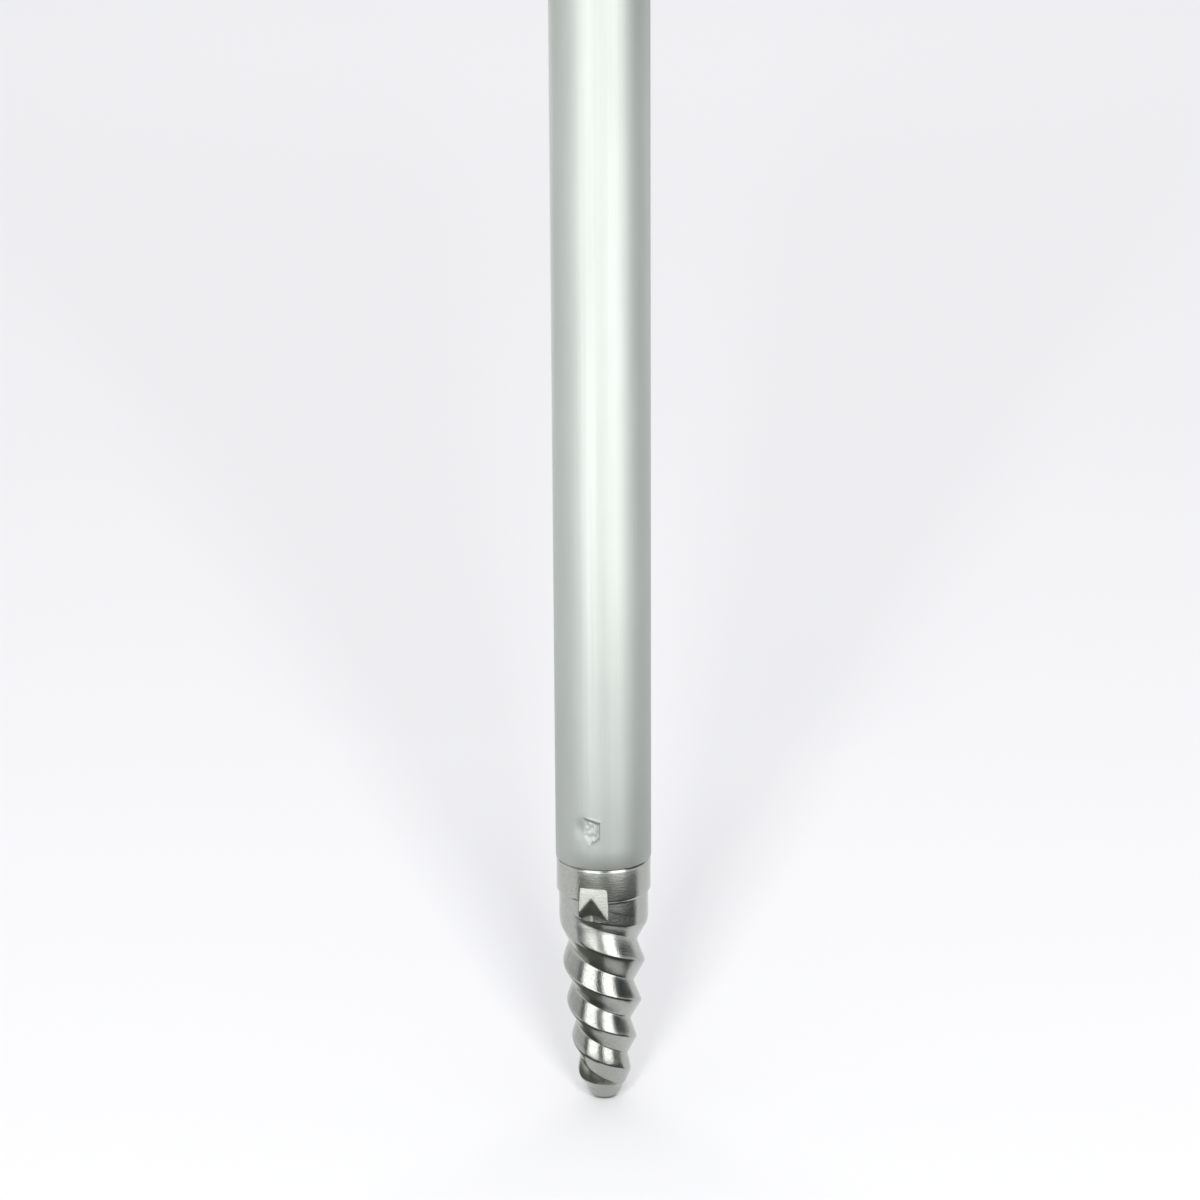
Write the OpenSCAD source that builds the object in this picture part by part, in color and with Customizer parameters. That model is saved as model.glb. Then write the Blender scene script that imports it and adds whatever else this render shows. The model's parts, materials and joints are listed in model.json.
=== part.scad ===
// Roller extension pole: a two-section telescopic painting pole.
// The pole lies along Z. The nose of the screw tip is at z = 0 and the butt is at the top.

/* [Tubes] */
// Outside diameter of the inner tube, which carries the screw tip
inner_od = 22; // [21.8:0.1:22.2]
// Wall thickness of the inner tube
inner_wall = 1.2; // [1.1:0.1:1.4]
// Outside diameter of the outer tube, which is held in the hand
outer_od = 25.4; // [25.4:0.1:25.8]
// Wall thickness of the outer tube
outer_wall = 1; // [0.9:0.05:1.05]

/* [Telescope] */
// Height of the clamp's mouth above the nose of the tip, as the pole stands half extended
clamp_z = 280; // [270:5:320]
// Travel of the inner tube each way from half extended
travel = 190; // [150:5:200]
// Length of inner tube that always stays inside the outer tube
overlap = 60; // [40:5:90]

/* [Screw tip] */
// Length of the tip from its nose to the end of the tube
tip_len = 61; // [60:0.5:64]
// Diameter of the tip's collar
tip_collar_od = 21.7; // [21.6:0.1:21.8]
// Diameter of the thread's crest where it leaves the collar
thread_od = 20.6; // [20:0.1:20.6]
// Number of thread columns round the tip, a multiple of 20
thread_columns = 40; // [40, 60]

/* [Clamp] */
// Outside diameter of the clamp collar
collar_od = 32; // [32:0.5:33]
// How far the cam pushes its plate, closed against open
cam_lift = 0.7; // [0.5:0.1:0.8]
// Thickness of the cam lever's arm
lever_wall = 4; // [3.5:0.25:4.5]

/* [Handle] */
// Outside diameter of the rubber grip
grip_od = 32; // [31:0.5:34]
// Length of the rubber grip
grip_len = 200; // [160:10:220]
// Diameter of the hole that hangs the pole up
hang_hole_d = 9; // [8:0.5:10]

/* [Hidden] */
$fn = 72;

eps = 0.01;          // overlap that fuses two stacked shapes

// Tubes
inner_r = inner_od / 2;
inner_bore_r = inner_r - inner_wall;
outer_r = outer_od / 2;
outer_bore_r = outer_r - outer_wall;

// The side of the tip and tube that carries the recessed panel and a stake, as an angle round the pole
mark_angle = -104.5;

// Screw tip: a two-start thread whose turns slope down from left to right
thread_starts = 2;
crest_z0 = 34.5;     // height of the first full crest, on the X axis
crest_step = 10.4;   // drop to the next crest
crest_ease = 0.38;   // by which each further drop is shorter
root_phase = 0.5;    // share of the pitch between a crest and the root under it
groove_start = -1.55; // half turn at which the groove begins to sink into the collar
groove_full = -0.6;  // half turn at which it has its full depth
flank_start = -1.4;  // half turn at which its upper flank begins to open out
thread_top = 52.3;   // where the collar's cone begins
thread_taper_z = 46; // under this height the crests taper
nose_r = 4.1;
nose_h = 3.2;
nose_flare = 0.75;   // by which the radius may grow for each mm above the nose
root_top_r = 7.6;    // root radius at height root_top_z
root_top_z = 39.6;
root_taper = 0.077;  // by which the root radius shrinks for each mm down
cone_h = 1.6;        // cone between the crests and the collar
collar_tip_r = tip_collar_od / 2;
shank_r = inner_bore_r - 0.05;
shank_top = tip_len + 30;
shank_core_r = 6;
stake_z = tip_len + 9.4;
stake_depth = 1.6;
pad_w = 7;           // recessed panel in the collar
pad_h = 8.2;
pad_z = 48;
pad_r = thread_od / 2 - 0.45;

// Inner end of the inner tube
lip_top = clamp_z + 26;
sleeve_z = lip_top + travel + 1;
tube_top = sleeve_z + overlap;
plug_flange_r = outer_bore_r - 0.15;
plug_flange_h = 16;
plug_top = tube_top + plug_flange_h;
plug_chamfer = 1.5;
pin_bore_r = 1.5;    // hole for the pin that holds the plug
pin_z = tube_top - 8;
ring_z = tube_top + 5;
ring_h = 6;
ring_depth = 2.1;
bumper_r = 7.5;
bumper_h = 4;

// Clamp, measured from its mouth
ring_top = clamp_z + 22;
relief_h = 1.6;
socket_top = clamp_z + 60;
collar_r = collar_od / 2;
collar_taper = 0.9;  // by which the socket narrows towards its end
lip_r = inner_r + 0.15;
liner_r = inner_r + 0.08;
liner_wall = 1.1;
slit_w = 2.4;
ear_half_h = 9;
ear_y = 7;
stud_r = 2;
stud_x = collar_r + 4.2;
stud_z = clamp_z + 11;
plate_t = 1.2;
pin_r = 3.5;
pin_gap = 0.08;
stud_bite = 2.4;     // depth of the stud past the pin's axis
cam_r = 6.3;
cam_reach = cam_r + cam_lift;
pin_y = -(ear_y + plate_t + cam_reach + 0.05);
lever_swing = 110;   // how far the lever opens
slot_side = asin(stud_r / pin_r) + 4; // how far the lever's slot reaches past the stud, each way
lever_half_h = 8.5;
arm_half_h = 7.5;
arm_in_r = collar_r + 0.8;
arm_out_r = arm_in_r + lever_wall;
arm_end = 188;       // angle round the pole at which the arm ends in its finger tab
arm_sweep = 86;
web_inset = 0.25;
washer_t = 1;
washer_r = 5;
nut_r = 6.5;
nut_h = 7.5;
nut_teeth = 18;

// Screws
screw_shank_r = 1.4;
pilot_r = 1.42;      // hole that the thread bites into
clear_r = 1.5;       // hole that the screw passes through
screw_z = clamp_z + 48;

// Handle
cap_plug_z = plug_top + bumper_h + travel + 2;
outer_top = cap_plug_z + 16;
cap_r = 15.4;
skirt_z = outer_top - 12;
cap_top = outer_top + 6;
cap_round = 2.5;
cap_screw_z = outer_top - 6;
eye_r = 10;
eye_t = 7;
eye_z = cap_top + 9;
grip_ring_h = 6;
grip_top = skirt_z - grip_ring_h - 1;
grip_z = grip_top - grip_len;
grip_rib_step = 8;
grip_plain = 12;     // plain band at each end of the ribs

// Half turns of thread passed at height z, counted down from the first full crest
function half_turns(z) =
    (crest_step - sqrt(crest_step * crest_step - 4 * crest_ease * (crest_z0 - z))) / (2 * crest_ease);

// Radius of the thread's crests at height z
function crest_r(z) =
    let (d = max(0, thread_taper_z - z))
    thread_od / 2 - 0.06 * d - 0.00003 * d * d * d;

// Radius of the thread's roots at height z
function root_r(z) = root_top_r - root_taper * (root_top_z - z);

// Rounded nose, and the flare above it that trims the last turns
function nose_limit(z) =
    z < nose_h
        ? nose_r * sqrt(max(0, 1 - pow(1 - z / nose_h, 2)))
        : nose_r + nose_flare * (z - nose_h);

function smooth(t) = let (c = min(1, max(0, t))) c * c * (3 - 2 * c);

// Radius of the tip at height z, at a share p of the pitch below a crest
function thread_r(z, p) =
    let (
        root_turn = half_turns(z) - p + root_phase,
        flank = root_phase * min(1, max(0.08, root_turn - flank_start)),
        rise = p < root_phase ? min(1, (root_phase - p) / flank) : (p - root_phase) / (1 - root_phase),
        depth = smooth((root_turn - groove_start) / (groove_full - groove_start))
    )
    min(nose_limit(z), crest_r(z) - depth * (crest_r(z) - root_r(z)) * (1 - rise));

// Heights of the thread's rings of points, from the nose upwards
nose_rings = [for (a = [15 : 15 : 75]) nose_h * (1 - cos(a))];
ring_count = 58;
thread_rings = [for (j = [0 : ring_count]) nose_h + (thread_top - nose_h) * j / ring_count];
tip_rings = concat(nose_rings, thread_rings);

// A point in column i at height z. The columns follow the helix, so crests and roots stay sharp.
function tip_point(i, z) =
    let (
        share = thread_starts * i / thread_columns,
        p = 1 - share + floor(share) == 1 ? 0 : 1 - share + floor(share),
        r = thread_r(z, p),
        a = 180 * (half_turns(z) + share)
    )
    [r * cos(a), r * sin(a), z];

module thread_body() {
    n = thread_columns;
    m = len(tip_rings);
    points = concat(
        [[0, 0, 0]],
        [for (z = tip_rings, i = [0 : n - 1]) tip_point(i, z)],
        [[0, 0, thread_top]]
    );
    top = len(points) - 1;
    faces = concat(
        [for (i = [0 : n - 1]) [0, 1 + i, 1 + (i + 1) % n]],
        [for (j = [0 : m - 2], i = [0 : n - 1])
            let (a = 1 + j * n + i, b = 1 + j * n + (i + 1) % n)
            each [[a, a + n, b + n], [a, b + n, b]]],
        [for (i = [0 : n - 1]) [top, 1 + (m - 1) * n + (i + 1) % n, 1 + (m - 1) * n + i]]
    );
    polyhedron(points, faces);
}

// A round bar between two heights
module cylinder_from(r, low, high) {
    translate([0, 0, low]) cylinder(r = r, h = high - low);
}

// A cone between two heights, sunk a little into what is under it
module cone_from(r_low, r_high, low, high) {
    translate([0, 0, low - eps]) cylinder(r1 = r_low, r2 = r_high, h = high - low + eps);
}

// A ring or tube between two heights
module tube_piece(r_out, r_in, low, high) {
    difference() {
        cylinder_from(r_out, low, high);
        cylinder_from(r_in, low - 1, high + 1);
    }
}

// Puts a shape made along Z out along a radius, at an angle round the pole
module radial(angle, z) {
    translate([0, 0, z]) rotate([0, 0, angle]) rotate([0, 90, 0]) children();
}

// Puts a shape made along Z along +Y, on the stud's axis
module on_stud(y) {
    translate([stud_x, y, stud_z]) rotate([-90, 0, 0]) children();
}

// A pan-head screw along Z, from its point to the seat under its head
module pan_screw(point, seat) {
    head_r = 2.9;
    cylinder_from(screw_shank_r, point, seat + 0.5);
    difference() {
        union() {
            cylinder_from(head_r, seat, seat + 1);
            cone_from(head_r, head_r - 0.8, seat + 1, seat + 1.8);
        }
        for (turn = [0, 90])
            rotate([0, 0, turn]) translate([-1.6, -0.4, seat + 0.8]) cube([3.2, 0.8, 2]);
    }
}

// ---- Inner section ----

module threaded_tip() {
    color([0.6, 0.6, 0.58]) difference() {
        union() {
            thread_body();
            translate([0, 0, thread_top - 0.1])
                cylinder(r1 = thread_od / 2 + 0.02, r2 = collar_tip_r, h = cone_h + 0.1);
            cylinder_from(collar_tip_r, thread_top + cone_h - eps, tip_len - 0.5);
            cone_from(collar_tip_r, collar_tip_r - 0.35, tip_len - 0.5, tip_len - 0.11);
            cylinder_from(shank_r, tip_len - 2, shank_top - 1.5);
            cone_from(shank_r, shank_r - 1.2, shank_top - 1.5, shank_top);
        }
        cylinder_from(shank_core_r, tip_len + 2, shank_top + 1);
        intersection() {
            tube_piece(collar_tip_r + 1, pad_r, pad_z, pad_z + pad_h);
            rotate([0, 0, mark_angle]) translate([0, -pad_w / 2, pad_z - 1]) cube([20, pad_w, pad_h + 2]);
        }
        for (side = [0, 180])
            radial(mark_angle + side, stake_z)
                translate([0, 0, shank_core_r + 1])
                    cylinder(r1 = 2.6, r2 = 3.6, h = shank_r - shank_core_r);
    }
}

module inner_tube() {
    color([0.8, 0.82, 0.82]) difference() {
        union() {
            tube_piece(inner_r, inner_bore_r, tip_len, tube_top);
            for (side = [0, 180])
                radial(mark_angle + side, stake_z)
                    translate([0, 0, inner_bore_r - stake_depth + 0.4])
                        cylinder(r1 = 1.9, r2 = 2.9, h = stake_depth);
        }
        for (side = [0, 180]) {
            radial(mark_angle + side, stake_z)
                translate([0, 0, inner_r - stake_depth])
                    cylinder(r1 = 1.3, r2 = 2.4, h = stake_depth + 0.5);
            radial(90 + side, pin_z) cylinder(r = pin_bore_r, h = inner_r + 1);
        }
    }
}

module guide_plug() {
    color([0.15, 0.15, 0.16]) difference() {
        union() {
            cylinder_from(inner_bore_r - 0.05, tube_top - 18, tube_top + 1);
            cylinder_from(plug_flange_r, tube_top + 0.05, plug_top - plug_chamfer);
            cone_from(plug_flange_r, plug_flange_r - 1.2, plug_top - plug_chamfer, plug_top);
        }
        tube_piece(plug_flange_r + 2, plug_flange_r - ring_depth - 0.2, ring_z - 0.15, ring_z + ring_h + 0.15);
        cylinder_from(5, tube_top - 19, tube_top + 4);
        cylinder_from(2.52, tube_top + 3, plug_top + 1);
        for (side = [0, 180])
            radial(90 + side, pin_z) cylinder(r = pin_bore_r, h = inner_r);
    }
}

module plug_pin() {
    color([0.55, 0.56, 0.58]) translate([0, 0, pin_z]) rotate([90, 0, 0])
        tube_piece(pin_bore_r - 0.02, 0.8, 0.25 - inner_r, inner_r - 0.25);
}

module stop_sleeve() {
    color([0.85, 0.84, 0.8])
        tube_piece(outer_bore_r - 0.2, inner_r + 0.05, sleeve_z, tube_top - 0.05);
}

module end_bumper() {
    color([0.08, 0.08, 0.08]) {
        cylinder_from(2.5, plug_top - 6, plug_top + 0.5);
        cylinder_from(bumper_r, plug_top + 0.02, plug_top + bumper_h - 1);
        cone_from(bumper_r, bumper_r - 1.5, plug_top + bumper_h - 1, plug_top + bumper_h);
    }
}

module glide_ring() {
    color([0.9, 0.9, 0.86]) difference() {
        tube_piece(outer_bore_r - 0.06, plug_flange_r - ring_depth, ring_z, ring_z + ring_h);
        translate([0, -0.8, ring_z - 1]) cube([outer_r + 2, 1.6, ring_h + 2]);
    }
}

// ---- Outer section ----

module outer_tube() {
    color([0.78, 0.8, 0.8]) difference() {
        tube_piece(outer_r, outer_bore_r, lip_top + 0.05, outer_top);
        for (side = [-90, 90])
            radial(side, screw_z) cylinder(r = pilot_r, h = outer_r + 2);
        radial(90, cap_screw_z) cylinder(r = pilot_r, h = outer_r + 2);
    }
}

module clamp_collar() {
    color([0.12, 0.12, 0.13]) difference() {
        union() {
            translate([0, 0, clamp_z]) cylinder(r1 = collar_r - 1, r2 = collar_r, h = 1);
            cylinder_from(collar_r, clamp_z + 1 - eps, lip_top + 4);
            cone_from(collar_r, collar_r - collar_taper, lip_top + 4, socket_top - 2);
            cone_from(collar_r - collar_taper, collar_r - collar_taper - 1.3, socket_top - 2, socket_top);
            collar_ears();
            collar_ribs();
        }
        // Bores: mouth, liner seat, lip, and the socket for the outer tube
        cylinder_from(lip_r, clamp_z - 1, socket_top + 1);
        cylinder_from(liner_r + liner_wall + 0.05, clamp_z + 1.2, ring_top + 0.5);
        cylinder_from(outer_r + 0.05, lip_top, socket_top + 1);
        // Slit through the ears, and the relief slot that lets the ring close
        translate([0, -slit_w / 2, clamp_z - 1]) cube([40, slit_w, ring_top - clamp_z + 1 + eps]);
        translate([-5, -20, ring_top]) cube([50, 40, relief_h]);
        on_stud(-20) cylinder(r = stud_r + 0.2, h = 40);
        for (side = [-90, 90])
            radial(side, screw_z) cylinder(r = clear_r, h = collar_r + 2);
    }
}

module collar_ears() {
    translate([collar_r - 6, -ear_y, stud_z - ear_half_h]) cube([8, 2 * ear_y, 2 * ear_half_h]);
    on_stud(-ear_y) translate([-1.5, 0, 0]) cylinder(r = ear_half_h, h = 2 * ear_y);
}

// Grip ribs down the socket, clear of the two screws
module collar_ribs() {
    for (a = [0 : 15 : 345])
        if (abs(abs(a - 180) - 90) > 20)
            rotate([0, 0, a]) translate([collar_r - 1.3, -0.8, lip_top + 6])
                cube([1.6, 1.6, socket_top - lip_top - 12]);
}

module clamp_liner() {
    color([0.85, 0.84, 0.8]) difference() {
        tube_piece(liner_r + liner_wall, liner_r, clamp_z + 1.3, ring_top - 0.1);
        translate([0, -0.6, clamp_z]) cube([20, 1.2, 30]);
    }
}

// Two pan-head screws, ending inside the tube's wall
module collar_screws() {
    color([0.6, 0.6, 0.6])
        for (side = [-90, 90]) radial(side, screw_z) pan_screw(outer_bore_r + 0.05, collar_r - 0.3);
}

module clamp_stud() {
    color([0.6, 0.61, 0.63]) {
        on_stud(pin_y - stud_bite)
            cylinder(r = stud_r - 0.02, h = ear_y + washer_t + nut_h + 3 - pin_y + stud_bite);
        on_stud(ear_y + washer_t + nut_h + 2.99) cylinder(r1 = stud_r - 0.02, r2 = stud_r - 0.6, h = 0.6);
    }
}

module lever_pin() {
    color([0.6, 0.61, 0.63]) difference() {
        translate([stud_x, pin_y, stud_z - lever_half_h - 0.5])
            cylinder(r = pin_r, h = 2 * lever_half_h + 1);
        on_stud(pin_y - stud_bite - 0.05) cylinder(r = stud_r, h = 20);
    }
}

module cam_plate() {
    color([0.66, 0.67, 0.69]) difference() {
        translate([stud_x - 5.5, -ear_y - plate_t, stud_z - 8]) cube([11.5, plate_t - 0.02, 16]);
        on_stud(-20) cylinder(r = stud_r + 0.2, h = 40);
    }
}

module cam_lever() {
    color([0.1, 0.1, 0.11]) difference() {
        union() {
            // Cam cheeks round the pin
            translate([stud_x, pin_y + cam_lift, stud_z - lever_half_h]) cylinder(r = cam_r, h = 2 * lever_half_h);
            // Straight web from the cam to the front of the collar
            translate([-1, web_inset - arm_out_r, stud_z - arm_half_h + web_inset])
                cube([stud_x + 1, lever_wall - 2 * web_inset, 2 * (arm_half_h - web_inset)]);
            // Arm that wraps the left side of the collar
            translate([0, 0, stud_z - arm_half_h]) rotate([0, 0, arm_end])
                rotate_extrude(angle = arm_sweep) translate([arm_in_r, 0]) square([lever_wall, 2 * arm_half_h]);
            // Finger tab
            rotate([0, 0, arm_end]) translate([arm_in_r + 0.6, -0.8, stud_z - arm_half_h + web_inset])
                cube([lever_wall + 2.4, 3.2, 2 * (arm_half_h - web_inset)]);
        }
        translate([stud_x, pin_y, clamp_z - 5]) cylinder(r = pin_r + pin_gap, h = 40);
        // Slot that lets the lever swing past the stud
        translate([stud_x, pin_y, stud_z - stud_r - 0.5]) rotate([0, 0, 90 - lever_swing - slot_side])
            rotate_extrude(angle = lever_swing + 2 * slot_side) square([cam_reach + 2, 2 * stud_r + 1]);
    }
}

module nut_washer() {
    color([0.66, 0.67, 0.69]) on_stud(ear_y + 0.02) difference() {
        cylinder(r = washer_r, h = washer_t - 0.04);
        translate([0, 0, -1]) cylinder(r = stud_r + 0.15, h = washer_t + 2);
    }
}

module thumb_nut() {
    color([0.1, 0.1, 0.11]) on_stud(ear_y + washer_t) difference() {
        union() {
            cylinder(r = nut_r - 1, h = nut_h);
            translate([0, 0, 1]) cylinder(r = nut_r, h = nut_h - 2);
        }
        for (k = [0 : nut_teeth - 1])
            rotate([0, 0, 360 * k / nut_teeth]) translate([nut_r + 0.35, 0, -1]) cylinder(r = 0.8, h = nut_h + 2);
        translate([0, 0, -1]) cylinder(r = stud_r + 0.03, h = nut_h + 2);
    }
}

// ---- Handle ----

module grip_sleeve() {
    ribs = floor((grip_len - 2 * grip_plain) / grip_rib_step);
    color([0.07, 0.07, 0.08]) difference() {
        tube_piece(grip_od / 2, outer_r + 0.05, grip_z, grip_top);
        for (k = [0 : ribs])
            translate([0, 0, grip_z + grip_plain + k * grip_rib_step])
                rotate_extrude() translate([grip_od / 2 + 0.4, 0]) circle(r = 1.2);
    }
}

// An end ring of the grip, with its long chamfer at the low end
module grip_ring(low) {
    ring_r = grip_od / 2 - 0.3;
    color([0.14, 0.14, 0.15]) difference() {
        union() {
            translate([0, 0, low]) cylinder(r1 = ring_r - 1.2, r2 = ring_r, h = 1.5);
            cylinder_from(ring_r, low + 1.5 - eps, low + grip_ring_h - 1);
            cone_from(ring_r, ring_r - 0.5, low + grip_ring_h - 1, low + grip_ring_h - 0.06);
        }
        cylinder_from(outer_r + 0.05, low - 1, low + grip_ring_h + 1);
    }
}

module grip_ring_lower() {
    grip_ring(grip_z - grip_ring_h);
}

module grip_ring_upper() {
    translate([0, 0, 2 * grip_top + grip_ring_h]) mirror([0, 0, 1]) grip_ring(grip_top);
}

module butt_cap() {
    color([0.1, 0.1, 0.11]) difference() {
        union() {
            cylinder_from(outer_bore_r - 0.05, cap_plug_z, outer_top + 1);
            cylinder_from(cap_r, skirt_z + 0.8, cap_top - cap_round);
            translate([0, 0, skirt_z]) cylinder(r1 = cap_r - 0.8, r2 = cap_r, h = 0.8 + eps);
            cone_from(cap_r, cap_r - cap_round, cap_top - cap_round, cap_top);
            translate([-eye_r, -eye_t / 2, cap_top - 3]) cube([2 * eye_r, eye_t, eye_z - cap_top + 3]);
            translate([0, -eye_t / 2, eye_z]) rotate([-90, 0, 0]) cylinder(r = eye_r, h = eye_t);
        }
        tube_piece(outer_r + 0.05, outer_bore_r - 0.05, skirt_z - 1, outer_top + 0.05);
        cylinder_from(8, cap_plug_z - 1, outer_top - 2);
        translate([0, -eye_t, eye_z]) rotate([-90, 0, 0]) cylinder(r = hang_hole_d / 2, h = 2 * eye_t);
        radial(90, cap_screw_z) cylinder(r = clear_r, h = cap_r + 2);
    }
}

module cap_screw() {
    color([0.6, 0.6, 0.6]) radial(90, cap_screw_z) pan_screw(9.2, cap_r);
}

threaded_tip();
inner_tube();
guide_plug();
plug_pin();
stop_sleeve();
end_bumper();
glide_ring();
outer_tube();
clamp_collar();
clamp_liner();
collar_screws();
clamp_stud();
lever_pin();
cam_plate();
cam_lever();
nut_washer();
thumb_nut();
grip_sleeve();
grip_ring_lower();
grip_ring_upper();
butt_cap();
cap_screw();
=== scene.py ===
# %% [markdown]
# # A roller extension pole
# A painter's pole has a cast screw tip that a roller frame threads onto, an inner and an outer
# aluminium tube, a lever clamp between them, a rubber grip and a hanging eye. The sizes come
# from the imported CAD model, which already moves. This lesson adds the looks: the cast thread,
# the dented tube, the moulded and rubber pieces, their materials, the light and the camera.

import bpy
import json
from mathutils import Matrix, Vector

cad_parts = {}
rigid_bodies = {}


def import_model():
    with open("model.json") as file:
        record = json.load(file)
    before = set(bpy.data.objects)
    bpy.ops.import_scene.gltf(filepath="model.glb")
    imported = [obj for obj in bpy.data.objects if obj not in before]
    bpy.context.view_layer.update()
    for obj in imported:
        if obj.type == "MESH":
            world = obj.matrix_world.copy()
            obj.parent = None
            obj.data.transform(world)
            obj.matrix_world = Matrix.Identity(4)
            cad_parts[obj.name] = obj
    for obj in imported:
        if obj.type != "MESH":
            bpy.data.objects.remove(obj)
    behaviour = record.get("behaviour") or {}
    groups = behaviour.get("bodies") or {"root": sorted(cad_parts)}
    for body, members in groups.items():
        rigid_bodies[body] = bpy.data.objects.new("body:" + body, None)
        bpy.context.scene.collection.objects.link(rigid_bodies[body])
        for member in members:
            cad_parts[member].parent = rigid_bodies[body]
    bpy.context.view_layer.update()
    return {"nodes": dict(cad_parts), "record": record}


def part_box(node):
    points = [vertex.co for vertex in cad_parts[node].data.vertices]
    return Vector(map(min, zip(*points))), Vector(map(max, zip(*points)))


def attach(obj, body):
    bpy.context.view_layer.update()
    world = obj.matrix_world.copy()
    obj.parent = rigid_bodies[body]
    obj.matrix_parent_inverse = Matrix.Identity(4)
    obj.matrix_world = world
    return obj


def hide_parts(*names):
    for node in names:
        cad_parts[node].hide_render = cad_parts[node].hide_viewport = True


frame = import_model()

# %% Imports and units
import json
import math

import bpy
from mathutils import Matrix, Vector, noise

MM = 0.001
nodes = frame["nodes"]
scene = bpy.context.scene

# %% [markdown]
# ## Camera
# The pole stands on its nose in front of a long lens that looks down at it by 17 degrees, so
# only the tip and the bare lower tube are in view. A long lens from far off keeps the tube's
# two sides nearly parallel, and a slight roll tips the pole by a third of a degree.

# %% Camera
AIM = Vector((-0.5, 0, 122)) * MM
CAMERA_RISE = math.radians(17)
CAMERA_DISTANCE = 807 * MM
CAMERA_ROLL = math.radians(-0.3)
SENSOR_WIDTH = 36
FOCAL_LENGTH = 107.3

camera = bpy.data.objects.new("camera", bpy.data.cameras.new("camera"))
camera.data.sensor_width = SENSOR_WIDTH
camera.data.lens = FOCAL_LENGTH
camera.data.clip_start = 10 * MM
away = Vector((0, -math.cos(CAMERA_RISE), math.sin(CAMERA_RISE)))
turn = (-away).to_track_quat("-Z", "Y").to_matrix().to_4x4()
camera.matrix_world = (
    Matrix.Translation(AIM + away * CAMERA_DISTANCE) @ turn @ Matrix.Rotation(CAMERA_ROLL, 4, "Z")
)
scene.collection.objects.link(camera)
scene.camera = camera
print("camera at", [round(v, 3) for v in camera.location])

# %% [markdown]
# ## Small helpers
# An operator works on everything that is selected, and the frame arrives selected, so each
# step starts by choosing one object. Colours are written as the sRGB hex values that a paint
# chart gives, and one function turns them to the linear values that Blender renders with.

# %% Selecting and finishing
def choose(obj):
    """Makes obj the only selected object, and the active one."""
    for other in bpy.context.view_layer.objects:
        other.select_set(False)
    obj.select_set(True)
    bpy.context.view_layer.objects.active = obj


def edit(obj):
    """Enters edit mode on obj with all of it selected."""
    choose(obj)
    bpy.ops.object.mode_set(mode="EDIT")
    bpy.ops.mesh.select_mode(type="VERT")
    bpy.ops.mesh.select_all(action="SELECT")


def done():
    """Leaves edit mode."""
    bpy.ops.object.mode_set(mode="OBJECT")


def modify(obj, kind, **settings):
    """Adds a modifier and applies it at once."""
    choose(obj)
    modifier = obj.modifiers.new(kind.lower(), kind)
    for name, value in settings.items():
        setattr(modifier, name, value)
    bpy.ops.object.modifier_apply(modifier=modifier.name)


def place(obj, name, node, material, smooth=35):
    """Names a finished piece, settles it at the origin and lets it stand for its CAD node."""
    choose(obj)
    bpy.ops.object.transform_apply(location=True, rotation=True, scale=True)
    bpy.ops.object.shade_smooth_by_angle(angle=math.radians(smooth))
    obj.name = obj.data.name = name
    obj.data.materials.clear()
    obj.data.materials.append(material)
    record = frame["record"]
    body = next(b for b, members in record["behaviour"]["bodies"].items() if node in members)
    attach(obj, body)
    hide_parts(node)
    print(f"{name}: {len(obj.data.polygons)} faces, rides on {body}")


# %% Colours and material nodes
def linear(hex_colour):
    """An sRGB hex colour as linear red, green, blue and alpha."""
    parts = [int(hex_colour[k : k + 2], 16) / 255 for k in (1, 3, 5)]
    return [c / 12.92 if c <= 0.04045 else ((c + 0.055) / 1.055) ** 2.4 for c in parts] + [1]


def add(tree, kind, values=None, links=None, **settings):
    """Adds a shader node: settings are its options, values its numbers, links what feeds it."""
    node = tree.nodes.new("ShaderNode" + kind)
    for name, value in settings.items():
        setattr(node, name, value)
    for socket, value in (values or {}).items():
        node.inputs[socket].default_value = value
    for socket, source in (links or {}).items():
        tree.links.new(source, node.inputs[socket])
    return node


def new_material(name, **shader_values):
    """A material with a Principled shader: returns it, its tree, the shader and its coordinates."""
    material = bpy.data.materials.new(name)
    material.use_nodes = True
    tree = material.node_tree
    shader = tree.nodes["Principled BSDF"]
    for socket, value in shader_values.items():
        shader.inputs[socket.replace("_", " ")].default_value = value
    where = add(tree, "TexCoord").outputs["Object"]
    return material, tree, shader, where


def feed(tree, shader, colour, sheen, relief):
    """Joins a finish's colour, roughness and surface relief to its shader."""
    for socket, source in (("Base Color", colour), ("Roughness", sheen), ("Normal", relief)):
        tree.links.new(source, shader.inputs[socket])


# %% [markdown]
# ## Materials
# Each finish is named for what it really is. A metal's colour is its reflection, so the metals
# keep the default IOR and change only in colour, roughness and relief.

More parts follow.
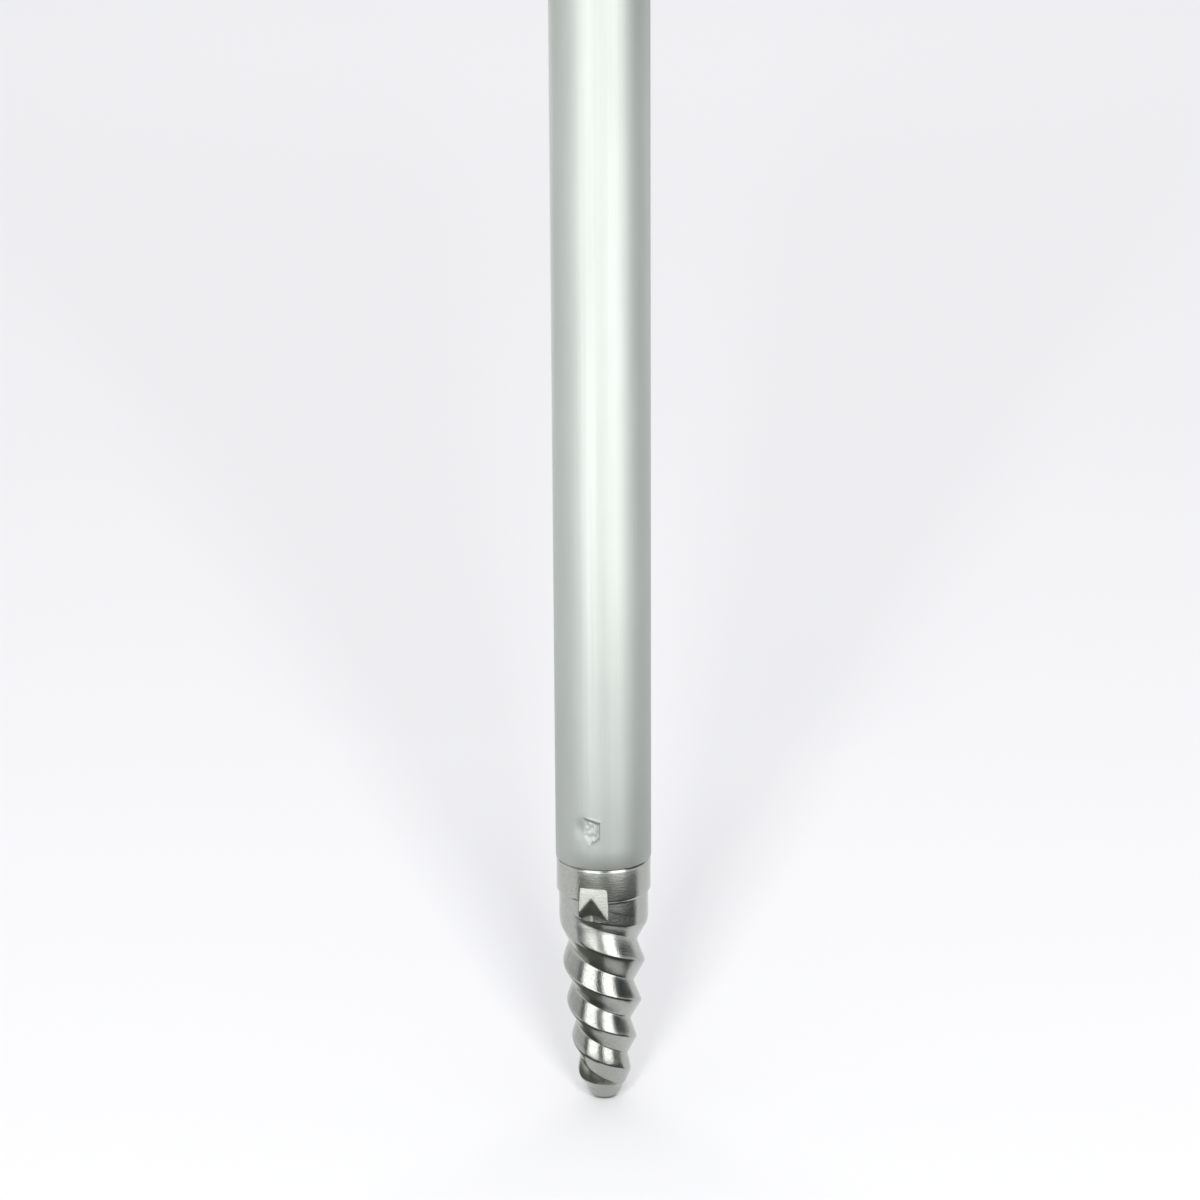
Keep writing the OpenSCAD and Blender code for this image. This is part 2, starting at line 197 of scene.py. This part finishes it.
# %% Drawn aluminium
# Aluminium tube is drawn through a die, which leaves fine straight lines along its length and a
# soft sheen, and it comes out a very pale grey with a touch of green.
def drawn_aluminium(name, dark, light, roughness):
    material, tree, shader, where = new_material(name, Metallic=1.0)
    scale = {1: (2900, 2900, 11)}
    along = add(tree, "VectorMath", scale, {0: where}, operation="MULTIPLY").outputs[0]
    lines = add(tree, "TexNoise", {"Scale": 1, "Detail": 2}, {"Vector": along}).outputs["Fac"]
    scale = {1: (110, 110, 25)}
    drift = add(tree, "VectorMath", scale, {0: where}, operation="MULTIPLY").outputs[0]
    cloud = add(tree, "TexNoise", {"Scale": 1, "Detail": 2}, {"Vector": drift}).outputs["Fac"]
    ends = {6: linear(dark), 7: linear(light)}
    colour = add(tree, "Mix", ends, {0: cloud}, data_type="RGBA").outputs[2]
    ends = {1: 0.25, 2: 0.75, 3: roughness - 0.05, 4: roughness + 0.05}
    sheen = add(tree, "MapRange", ends, {0: lines}).outputs[0]
    relief = add(tree, "Bump", {"Distance": 0.002 * MM}, {"Height": lines}).outputs["Normal"]
    feed(tree, shader, colour, sheen, relief)
    return material


pale_tube = drawn_aluminium("satin_drawn_aluminium", "#B2B7B2", "#BFC4BF", 0.57)
outer_alloy = drawn_aluminium("satin_drawn_aluminium_outer", "#A9AEAE", "#BBBFBF", 0.48)


# %% Zinc casting
# The tip is cast in a steel die and barrelled, so it is bright but not smooth: a fine grit breaks
# its reflections into sparkles, and its colour and shine vary a little from place to place.
def zinc_casting(name):
    material, tree, shader, where = new_material(name, Metallic=1.0)
    grit = add(tree, "TexNoise", {"Scale": 3600, "Detail": 2}, {"Vector": where}).outputs["Fac"]
    patches = add(tree, "TexNoise", {"Scale": 260, "Detail": 3}, {"Vector": where}).outputs["Fac"]
    specks = add(tree, "TexNoise", {"Scale": 2100, "Detail": 1}, {"Vector": where}).outputs["Fac"]
    shade = add(tree, "MapRange", {1: 0.2, 2: 0.75, 3: 0, 4: 1}, {0: specks}).outputs[0]
    ends = {6: linear("#A0A29C"), 7: linear("#B6B8B1")}
    colour = add(tree, "Mix", ends, {0: shade}, data_type="RGBA").outputs[2]
    sheen = add(tree, "MapRange", {1: 0.3, 2: 0.7, 3: 0.17, 4: 0.24}, {0: patches}).outputs[0]
    relief = add(tree, "Bump", {"Distance": 0.028 * MM}, {"Height": grit}).outputs["Normal"]
    feed(tree, shader, colour, sheen, relief)
    return material


cast_zinc = zinc_casting("barrelled_zinc_casting")


# %% Moulded plastic
# Black nylon and ABS mouldings come out of a spark-eroded die with an even fine grain and a low
# sheen. Acetal is white and waxy, with hardly any grain.
def moulded(name, dark, light, roughness, depth=0.02):
    material, tree, shader, where = new_material(name, IOR=1.5)
    skin = add(tree, "TexNoise", {"Scale": 2800, "Detail": 2}, {"Vector": where}).outputs["Fac"]
    flow = add(tree, "TexNoise", {"Scale": 75, "Detail": 2}, {"Vector": where}).outputs["Fac"]
    ends = {6: linear(dark), 7: linear(light)}
    colour = add(tree, "Mix", ends, {0: flow}, data_type="RGBA").outputs[2]
    ends = {1: 0.3, 2: 0.7, 3: roughness - 0.05, 4: roughness + 0.06}
    sheen = add(tree, "MapRange", ends, {0: flow}).outputs[0]
    relief = add(tree, "Bump", {"Distance": depth * MM}, {"Height": skin}).outputs["Normal"]
    feed(tree, shader, colour, sheen, relief)
    return material


black_nylon = moulded("spark_grained_black_nylon", "#1B1C1E", "#26272A", 0.46)
lever_nylon = moulded("glass_filled_black_nylon", "#212326", "#2C2E32", 0.38)
white_acetal = moulded("white_acetal", "#D9D6C9", "#E6E3D8", 0.35, depth=0.006)
grey_polypropylene = moulded("dark_grey_polypropylene", "#2E3033", "#3A3C40", 0.42)


# %% Zinc-plated steel
# Small steel parts are stamped or turned, then plated with zinc, which leaves a soft bluish grey
# shine with faint clouding.
def plated_steel(name):
    material, tree, shader, where = new_material(name, Metallic=1.0)
    cloud = add(tree, "TexNoise", {"Scale": 400, "Detail": 4}, {"Vector": where}).outputs["Fac"]
    ends = {6: linear("#A3A8AE"), 7: linear("#C3C7CB")}
    colour = add(tree, "Mix", ends, {0: cloud}, data_type="RGBA").outputs[2]
    sheen = add(tree, "MapRange", {1: 0.3, 2: 0.7, 3: 0.24, 4: 0.38}, {0: cloud}).outputs[0]
    relief = add(tree, "Bump", {"Distance": 0.01 * MM}, {"Height": cloud}).outputs["Normal"]
    feed(tree, shader, colour, sheen, relief)
    return material


plated = plated_steel("zinc_plated_steel")


# %% Rubber
# Moulded rubber is nearly black, dull and slightly dusty where hands rub it, with a fine leathery
# skin from its mould.
def moulded_rubber(name):
    material, tree, shader, where = new_material(name, IOR=1.52)
    skin = add(tree, "TexNoise", {"Scale": 2000, "Detail": 3}, {"Vector": where}).outputs["Fac"]
    dust = add(tree, "TexNoise", {"Scale": 110, "Detail": 4}, {"Vector": where}).outputs["Fac"]
    amount = add(tree, "MapRange", {1: 0.4, 2: 0.75, 3: 0, 4: 1}, {0: dust}).outputs[0]
    ends = {6: linear("#17181A"), 7: linear("#2B2C2E")}
    colour = add(tree, "Mix", ends, {0: amount}, data_type="RGBA").outputs[2]
    sheen = add(tree, "MapRange", {1: 0.3, 2: 0.7, 3: 0.62, 4: 0.8}, {0: dust}).outputs[0]
    relief = add(tree, "Bump", {"Distance": 0.04 * MM}, {"Height": skin}).outputs["Normal"]
    feed(tree, shader, colour, sheen, relief)
    return material


grip_rubber = moulded_rubber("moulded_grip_rubber")
print("materials:", sorted(m.name for m in bpy.data.materials))

# %% [markdown]
# ## Screw tip
# The tip's thread is a coarse two-start V that tapers to a blunt nose. No modelling operator cuts
# a helix that tapers and tightens as it goes, so a flat grid is rolled round the pole's axis by a
# rule instead. The grid's columns run along the thread, which keeps each crest and root one
# unbroken line. The turns slope down from left to right, so it is a left-handed thread.

# %% Thread rule, in millimetres above the nose
FIRST_CREST = 34.5
CREST_DROP = 10.4
CREST_EASE = 0.38
ROOT_SHARE = 0.5
THREAD_TOP = 52.3
CREST_R = 10.3
TAPER_TOP = 46
ROOT_R = 7.6
ROOT_LEVEL = 39.6
NOSE_R = 4.1
NOSE_H = 3.2
GROOVE_START = -1.5
GROOVE_FULL = -0.6
FLANK_START = -1.4
CREST_ROUND = 0.07
ROOT_ROUND = 0.1
GIVEN_BACK = 0.6


def half_turns(z):
    """Half turns of thread passed on the way down to height z, from the first full crest."""
    root = math.sqrt(CREST_DROP**2 - 4 * CREST_EASE * (FIRST_CREST - z))
    return (CREST_DROP - root) / (2 * CREST_EASE)


def crest_radius(z):
    below = max(0, TAPER_TOP - z)
    return CREST_R - 0.06 * below - 0.00003 * below**3


def root_radius(z):
    return ROOT_R - 0.077 * (ROOT_LEVEL - z)


def nose_radius(z):
    """The rounded nose, and the flare above it that trims the last turns."""
    if z < NOSE_H:
        return NOSE_R * math.sqrt(max(0, 1 - (1 - z / NOSE_H) ** 2))
    return NOSE_R + 0.75 * (z - NOSE_H)


def ease(t):
    t = min(1, max(0, t))
    return t * t * (3 - 2 * t)


def rounded(rise):
    """A V's height, from 0 in the root to 1 on the crest, with its two corners rounded off.

    A share of what each rounding takes off is given back, so that the V keeps its depth."""
    crest = 1 - math.hypot(1 - rise, CREST_ROUND) + GIVEN_BACK * CREST_ROUND
    bottom = GIVEN_BACK * ROOT_ROUND
    return (math.hypot(crest, ROOT_ROUND) - bottom) / (math.hypot(1, ROOT_ROUND) - bottom)


def thread_radius(z, share):
    """Radius at height z, a share of the way from one crest down to the next."""
    root_turn = half_turns(z) - share + ROOT_SHARE
    flank = ROOT_SHARE * min(1, max(0.08, root_turn - FLANK_START))
    if share < ROOT_SHARE:
        rise = min(1, (ROOT_SHARE - share) / flank)
    else:
        rise = (share - ROOT_SHARE) / (1 - ROOT_SHARE)
    depth = ease((root_turn - GROOVE_START) / (GROOVE_FULL - GROOVE_START))
    crest = crest_radius(z)
    return min(nose_radius(z), crest - depth * (crest - root_radius(z)) * (1 - rounded(rise)))


# %% Roll the grid
TIP_COLUMNS = 200
NOSE_ROWS = 10
THREAD_ROWS = 260
COLLAR_R = 10.85
TUBE_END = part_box("inner_tube")[0].z / MM
SHANK_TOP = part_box("threaded_tip")[1].z / MM
SHANK_R = 9.75
CORE_R = 6
RIPPLE = 0.035
RIPPLE_SIZE = 3.5

nose_levels = [NOSE_H * (1 - math.cos(math.radians(90 * k / NOSE_ROWS))) for k in range(NOSE_ROWS)]
thread_levels = [NOSE_H + (THREAD_TOP - NOSE_H) * k / THREAD_ROWS for k in range(THREAD_ROWS + 1)]
upper_profile = [
    (THREAD_TOP + 0.15, CREST_R + 0.01),
    (THREAD_TOP + 0.3, CREST_R + 0.06),
    (THREAD_TOP + 0.7, COLLAR_R - 0.06),
    (THREAD_TOP + 0.85, COLLAR_R - 0.01),
    (THREAD_TOP + 1.1, COLLAR_R),
    (TUBE_END - 3, COLLAR_R),
    (TUBE_END - 1, COLLAR_R),
    (TUBE_END - 0.75, COLLAR_R - 0.01),
    (TUBE_END - 0.5, COLLAR_R - 0.06),
    (TUBE_END - 0.3, COLLAR_R - 0.16),
    (TUBE_END - 0.15, COLLAR_R - 0.34),
    (TUBE_END - 0.1, COLLAR_R - 0.5),
    (TUBE_END - 0.1, SHANK_R),
    (SHANK_TOP - 1.5, SHANK_R),
    (SHANK_TOP, SHANK_R - 1.2),
    (SHANK_TOP, CORE_R),
    (TUBE_END + 2, CORE_R),
    (TUBE_END + 2, 0),
]
levels = nose_levels + thread_levels
rows = len(levels) + len(upper_profile)

bpy.ops.mesh.primitive_grid_add(x_subdivisions=TIP_COLUMNS, y_subdivisions=rows - 1, size=1)
tip = bpy.context.object
for vertex in tip.data.vertices:
    share = 2 * (vertex.co.x + 0.5)
    row = round((vertex.co.y + 0.5) * (rows - 1))
    if row < len(levels):
        z = levels[row]
        radius = thread_radius(z, (1 - share) % 1)
    else:
        z, radius = upper_profile[row - len(levels)]
    angle = math.pi * (half_turns(min(z, THREAD_TOP)) + share)
    point = Vector((radius * math.cos(angle), radius * math.sin(angle), z))
    ripple = RIPPLE * noise.noise(point / RIPPLE_SIZE)
    radius = max(0, radius + ripple * min(1, radius / 3)) if z < TUBE_END - 0.1 else radius
    vertex.co = Vector((radius * math.cos(angle), radius * math.sin(angle), z)) * MM

edit(tip)
bpy.ops.mesh.remove_doubles(threshold=0.001 * MM)
bpy.ops.mesh.dissolve_degenerate(threshold=0.001 * MM)
bpy.ops.mesh.normals_make_consistent(inside=False)
done()
print("tip rolled from", TIP_COLUMNS, "columns and", rows, "rows")

# %% [markdown]
# A panel is recessed in the collar, with a three-cornered facet in its floor. Its cutter is a
# cube that is subdivided in edit mode and then has its points moved: its corners are rounded,
# and its inner face leans back a little, so that the floor of the recess faces upwards and
# catches the light. A Boolean modifier then takes the cutter out of the casting.

# %% Recessed panel
MARK_TURN = math.radians(-104.5)
PANEL_W = 7
PANEL_H = 8.2
PANEL_Z = 48 + PANEL_H / 2
PANEL_FLOOR = 9.35
PANEL_LEAN = 0.07
PANEL_CORNER = 0.07
PANEL_CUTS = 23
FACET_SINK = 0.16
FACET_TIP = (-0.6, 1.0)
FACET_SLOPE = 1.3

bpy.ops.mesh.primitive_cube_add(size=1)
cutter = bpy.context.object
edit(cutter)
bpy.ops.mesh.subdivide(number_cuts=PANEL_CUTS)
done()
for vertex in cutter.data.vertices:
    across, up = 2 * vertex.co.y, 2 * vertex.co.z
    corner = 1 - PANEL_CORNER * (min(abs(across), abs(up)) ** 6)
    across, up = across * corner * PANEL_W / 2, up * corner * PANEL_H / 2
    if vertex.co.x < -0.49:
        out = PANEL_FLOOR - PANEL_LEAN * up
        out -= FACET_SINK * max(0, FACET_TIP[1] - up - FACET_SLOPE * abs(across - FACET_TIP[0]))
    else:
        out = PANEL_FLOOR + 0.8 + 3 * (vertex.co.x + 0.5)
    vertex.co = Matrix.Rotation(MARK_TURN, 3, "Z") @ (Vector((out, across, PANEL_Z + up)) * MM)
edit(cutter)
bpy.ops.mesh.normals_make_consistent(inside=False)
done()
modify(tip, "BOOLEAN", operation="DIFFERENCE", solver="EXACT", object=cutter)
bpy.data.objects.remove(cutter)
place(tip, "screw_tip_casting", "threaded_tip", cast_zinc, smooth=40)

# %% [markdown]
# ## Inner tube
# The tube is staked to the tip: a punch drives its wall into a pocket in the shank. The blow
# leaves a sharp-edged pit with a soft dish round it. The tube starts as an open cylinder, which is
# bisected into fine rings round the stake, dented by moving its vertices, and given its wall.

# %% Staked tube
TUBE_R = 11
TUBE_WALL = 1.2
TUBE_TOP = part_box("inner_tube")[1].z / MM
STAKE_Z = TUBE_END + 9.4
STAKE_REACH = 4.6
STAKE_RINGS = 62
STAKE_SWING = 0.7
PIT_DEPTH = 0.78
DISH_DEPTH = 0.4
# The pit's five sides: the way each one faces, its distance out, and the width of its wall
STAKE_SIDES = [
    ((0.263, 0.965), 2.45, 0.85),
    ((1, 0), 2.0, 0.35),
    ((0.532, -0.847), 2.8, 0.3),
    ((-0.78, -0.625), 2.5, 0.8),
    ((-1, 0), 2.1, 1.1),
]


def stake_depth(across, up):
    """How far the wall is driven in, at a distance across and up from the punch's centre, in mm."""
    inside = min((reach - way[0] * across - way[1] * up) / wall for way, reach, wall in STAKE_SIDES)
    pit = ease(inside)
    torn = 0.16 * noise.noise(Vector((across * 1.3, up * 0.9, 3.1)))
    ridges = 0.07 * math.cos(across * 9) * ease((across + 0.2) / 0.6)
    bottom = PIT_DEPTH + 0.13 * across + 0.05 * up + torn + ridges
    dish = math.exp(-(((across + 2.6) / 1.7) ** 2) - ((up + 0.1) / 2.3) ** 2)
    rim = 0.05 * math.exp(-(((inside + 0.25) / 0.3) ** 2)) if across > -1 else 0
    return pit * bottom + DISH_DEPTH * dish * (1 - 0.7 * pit) - rim


tube_length = TUBE_TOP - TUBE_END
bpy.ops.mesh.primitive_cylinder_add(
    vertices=480, radius=TUBE_R * MM, depth=tube_length * MM, end_fill_type="NOTHING",
    location=(0, 0, (TUBE_END + tube_length / 2) * MM),
)
tube = bpy.context.object
bpy.ops.object.transform_apply(location=True, rotation=True, scale=True)
edit(tube)
for ring in range(STAKE_RINGS + 1):
    height = STAKE_Z + STAKE_REACH * (2 * ring / STAKE_RINGS - 1)
    bpy.ops.mesh.select_all(action="SELECT")
    bpy.ops.mesh.bisect(plane_co=(0, 0, height * MM), plane_no=(0, 0, 1))
done()
for vertex in tube.data.vertices:
    up = vertex.co.z / MM - STAKE_Z
    if abs(up) < STAKE_REACH:
        angle = math.atan2(vertex.co.y, vertex.co.x)
        for side in (MARK_TURN, MARK_TURN + math.pi):
            swing = (angle - side + math.pi) % (2 * math.pi) - math.pi
            if abs(swing) < STAKE_SWING:
                fade = ease((STAKE_REACH - abs(up)) / 0.8)
                radius = TUBE_R - fade * stake_depth(swing * TUBE_R, up)
                vertex.co.x = radius * math.cos(angle) * MM
                vertex.co.y = radius * math.sin(angle) * MM
modify(tube, "SOLIDIFY", thickness=TUBE_WALL * MM, offset=-1, use_even_offset=True)
modify(
    tube, "BEVEL", width=0.15 * MM, segments=2, limit_method="ANGLE", angle_limit=math.radians(60)
)
place(tube, "inner_tube_staked", "inner_tube", pale_tube, smooth=40)

# %% [markdown]
# ## Turned pieces
# The outer tube, the grip and its end rings are all round, so each is a closed cross-section that
# is spun about the pole's axis. A circle lends its ring of points to the cross-section. The bevel
# rounds every corner that a die or a mould would leave rounded.

# %% Spinning a cross-section
SPIN_STEPS = 96
SHARP = math.radians(40)


def turned(name, node, material, section, corner):
    """Spins a closed section of (radius, height) points, in mm, and rounds its corners."""
    bpy.ops.mesh.primitive_circle_add(vertices=len(section), radius=1)
    piece = bpy.context.object
    for vertex, (radius, height) in zip(piece.data.vertices, section):
        vertex.co = Vector((radius, 0, height)) * MM
    edit(piece)
    bpy.ops.mesh.spin(steps=SPIN_STEPS, angle=math.tau, center=(0, 0, 0), axis=(0, 0, 1))
    bpy.ops.mesh.select_all(action="SELECT")
    bpy.ops.mesh.remove_doubles(threshold=0.001 * MM)
    bpy.ops.mesh.normals_make_consistent(inside=False)
    done()
    modify(piece, "BEVEL", width=corner * MM, segments=3, limit_method="ANGLE", angle_limit=SHARP)
    place(piece, name, node, material, smooth=50)


def span(node):
    """The lowest and highest point of a CAD node, in mm."""
    low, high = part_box(node)
    return low.z / MM, high.z / MM


# %% Outer tube
OUTER_R = 12.7
low, high = span("outer_tube")
section = [(OUTER_R - 1, low), (OUTER_R, low), (OUTER_R, high), (OUTER_R - 1, high)]
turned("outer_tube_drawn", "outer_tube", outer_alloy, section, 0.2)

# %% Grip with its grooves
GRIP_R = 16
GROOVE_R = 1.2
GROOVE_OUT = 16.4
GROOVE_PITCH = 8
GROOVE_SWINGS = (-70.5, -47, -23.5, 0, 23.5, 47, 70.5)
PLAIN_END = 12
low, high = span("grip_sleeve")
section = [(OUTER_R, low), (GRIP_R, low)]
groove = low + PLAIN_END
while groove < high - PLAIN_END + 1:
    for swing in GROOVE_SWINGS:
        turn = math.radians(swing)
        section.append((GROOVE_OUT - GROOVE_R * math.cos(turn), groove + GROOVE_R * math.sin(turn)))
    groove += GROOVE_PITCH
section += [(GRIP_R, high), (OUTER_R, high)]
turned("grip_sleeve_grooved", "grip_sleeve", grip_rubber, section, 0.35)

# %% Grip rings
RING_R = 15.7
CHAMFER_IN = 1.2
CHAMFER_LONG = 1.5
for node, out in (("grip_ring_lower", -1), ("grip_ring_upper", 1)):
    low, high = span(node)
    start, end = (low, high) if out > 0 else (high, low)
    section = [
        (OUTER_R, start), (RING_R, start), (RING_R, end - CHAMFER_LONG * out),
        (RING_R - CHAMFER_IN, end), (OUTER_R, end),
    ]
    turned(node + "_moulded", node, grey_polypropylene, section, 0.3)

# %% [markdown]
# ## Clamp, cap and fittings
# The clamp, the lever, the nut, the cap and the steel fittings have slits, ribs, slots and bores
# that the CAD model already has in the right place. Each is a copy of its CAD mesh: the loose
# triangles are merged and paired into quads, and a bevel rounds the edges as a mould or a
# tumbling barrel does.

# %% Softening a copy
def softened(name, node, material, corner):
    """Stands a copy with rounded edges in for a CAD node."""
    piece = bpy.data.objects.new(name, nodes[node].data.copy())
    piece.matrix_world = nodes[node].matrix_world.copy()
    scene.collection.objects.link(piece)
    edit(piece)
    bpy.ops.mesh.remove_doubles(threshold=0.001 * MM)
    bpy.ops.mesh.tris_convert_to_quads(face_threshold=math.radians(1), shape_threshold=math.pi)
    bpy.ops.mesh.normals_make_consistent(inside=False)
    done()
    modify(piece, "BEVEL", width=corner * MM, segments=2, limit_method="ANGLE", angle_limit=SHARP)
    place(piece, name, node, material, smooth=40)


# %% Copies of the fittings
for name, node, material, corner in (
    ("clamp_collar_moulded", "clamp_collar", black_nylon, 0.3),
    ("cam_lever_moulded", "cam_lever", lever_nylon, 0.35),
    ("thumb_nut_moulded", "thumb_nut", lever_nylon, 0.3),
    ("butt_cap_moulded", "butt_cap", black_nylon, 0.4),
    ("cap_screw_plated", "cap_screw", plated, 0.12),
    ("collar_screws_plated", "collar_screws", plated, 0.12),
    ("clamp_stud_plated", "clamp_stud", plated, 0.15),
    ("lever_pin_plated", "lever_pin", plated, 0.2),
    ("cam_plate_plated", "cam_plate", plated, 0.15),
    ("nut_washer_plated", "nut_washer", plated, 0.15),
):
    softened(name, node, material, corner)

# %% [markdown]
# The pieces inside the tubes are seen only when the pole is drawn out or taken apart, so they keep
# their CAD mesh and take a finish.

# %% Finish the inner pieces
finishes = {
    white_acetal: ["stop_sleeve", "glide_ring", "clamp_liner"],
    grey_polypropylene: ["guide_plug"],
    plated: ["plug_pin"],
    grip_rubber: ["end_bumper"],
}
for material, names in finishes.items():
    for name in names:
        nodes[name].data.materials.clear()
        nodes[name].data.materials.append(material)
print("finished", sum(len(n) for n in finishes.values()), "CAD nodes")

# %% [markdown]
# ## Floor and light
# The pole stands on a wide pale sheet. Two soft boxes beside the camera throw the two faint
# shadows that spread behind the tip. Polished metal is a mirror of its room more than a colour,
# so the room is built as a studio is for silverware: bright panels that only polished surfaces
# show, a dim room round them, and two dark cards on the sheet that give the collar its dark
# middle and the grooves their dark left sides.

# %% Floor
FLOOR_SIZE = 40
bpy.ops.mesh.primitive_plane_add(size=FLOOR_SIZE)
floor = bpy.context.object
floor.name = "floor"
paper, tree, shader, where = new_material("white_paper", Roughness=1.0, Specular_IOR_Level=0.0)
shader.inputs["Base Color"].default_value = linear("#F4F4F5")
floor.data.materials.append(paper)


# %% Soft boxes
def around(azimuth, rise, distance):
    """A place around the tip: azimuth 0 is the camera's side, and positive is to its right."""
    a, e = math.radians(azimuth), math.radians(rise)
    return distance * Vector((math.sin(a) * math.cos(e), -math.cos(a) * math.cos(e), math.sin(e)))


def lamp(name, spot, aim, width, height, brightness):
    """A rectangular lamp. Its brightness is how many times brighter than white paper it looks."""
    light = bpy.data.lights.new(name, "AREA")
    light.shape = "RECTANGLE"
    light.size, light.size_y = width, height
    light.energy = brightness * math.pi * width * height
    obj = bpy.data.objects.new(name, light)
    obj.location = spot
    obj.rotation_euler = (aim - spot).to_track_quat("-Z", "Y").to_euler()
    obj.visible_camera = False
    scene.collection.objects.link(obj)
    return obj


SOFT_BOX_RISE = 40
tip_middle = Vector((0, 0, 0.08))
for name, azimuth, distance, width, height, brightness in (
    ("soft_box_right", 10, 2.2, 0.36, 0.8, 18),
    ("soft_box_left", -10, 2.2, 0.30, 0.8, 20),
    ("background_light", 180, 3.0, 4.0, 2.0, 1.15),
):
    spot = tip_middle + around(azimuth, SOFT_BOX_RISE, distance)
    soft_box = lamp(name, spot, tip_middle, width, height, brightness)
    soft_box.visible_glossy = False

# %% Panels that only polished surfaces show
PANEL_DISTANCE = 0.19
PANEL_FOOT = 0.014
for name, azimuth, distance, width, height, brightness in (
    ("panel_right", 33, PANEL_DISTANCE, 0.124, 0.9, 2.7),
    ("panel_left", -27, PANEL_DISTANCE, 0.138, 0.9, 2.5),
    ("side_panel", -92, 0.5, 0.5, 0.9, 0.6),
    ("rim_panel_right", 128, 0.6, 0.25, 1.0, 0.9),
    ("rim_panel_left", -146, 0.6, 0.25, 1.0, 1.2),
):
    foot = around(azimuth, 0, distance)
    middle = Vector((0, 0, PANEL_FOOT + height / 2))
    lamp(name, foot + middle, middle, width, height, brightness).visible_diffuse = False

# %% Dark cards, seen only in reflections
CARD_LIFT = 0.001


def dark_card(name, start, end, inner, outer, colour):
    """A card on the sheet: a slice of a ring between two azimuths, less than half a turn."""
    bpy.ops.mesh.primitive_circle_add(
        vertices=96, radius=outer, fill_type="NGON", location=(0, 0, CARD_LIFT)
    )
    card = bpy.context.object
    card.name = name
    edit(card)
    bpy.ops.mesh.inset(thickness=outer - inner)
    bpy.ops.mesh.delete(type="FACE")
    for azimuth, side in ((start, -1), (end, 1)):
        edge = around(azimuth, 0, 1)
        bpy.ops.mesh.select_all(action="SELECT")
        bpy.ops.mesh.bisect(
            plane_co=(0, 0, 0), plane_no=(-edge.y * side, edge.x * side, 0), clear_outer=True
        )
    done()
    material, tree, shader, where = new_material(name, Roughness=1.0, Specular_IOR_Level=0.0)
    shader.inputs["Base Color"].default_value = linear(colour)
    card.data.materials.append(material)
    card.visible_camera = card.visible_diffuse = card.visible_shadow = False
    print(name, "spans", start, "to", end, "degrees")


dark_card("front_card", -64, 89, 0.020, PANEL_DISTANCE - 0.002, "#4A4E4A")
dark_card("left_card", -130, -22, 0.012, 0.045, "#6A6C64")

# %% [markdown]
# The pole stands on its tip, and the tip slides down out of the outer tube as the pole is drawn
# out. The sheet, the cards and the lights belong to one empty, which rides on the ring that slides
# with the tip, so the floor stays under the nose at every length.

# %% The set follows the tip
studio_set = bpy.data.objects.new("studio_set", None)
scene.collection.objects.link(studio_set)
on_stage = [obj for obj in scene.objects if obj.type == "LIGHT"]
on_stage += [scene.objects[name] for name in ("floor", "front_card", "left_card")]
for obj in on_stage:
    obj.parent = studio_set
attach(studio_set, "glide_ring")
print("the set holds", sorted(obj.name for obj in on_stage))

# %% World and view
world = bpy.data.worlds.new("studio")
world.use_nodes = True
sky = world.node_tree
background = sky.nodes["Background"]
paths = add(sky, "LightPath").outputs
ends = {6: linear("#C2C2C5"), 7: linear("#43494C")}
shade = add(sky, "Mix", ends, {0: paths["Is Glossy Ray"]}, data_type="RGBA").outputs[2]
sky.links.new(shade, background.inputs["Color"])
background.inputs["Strength"].default_value = 1.0
scene.world = world
scene.view_settings.view_transform = "Standard"
scene.view_settings.look = "None"
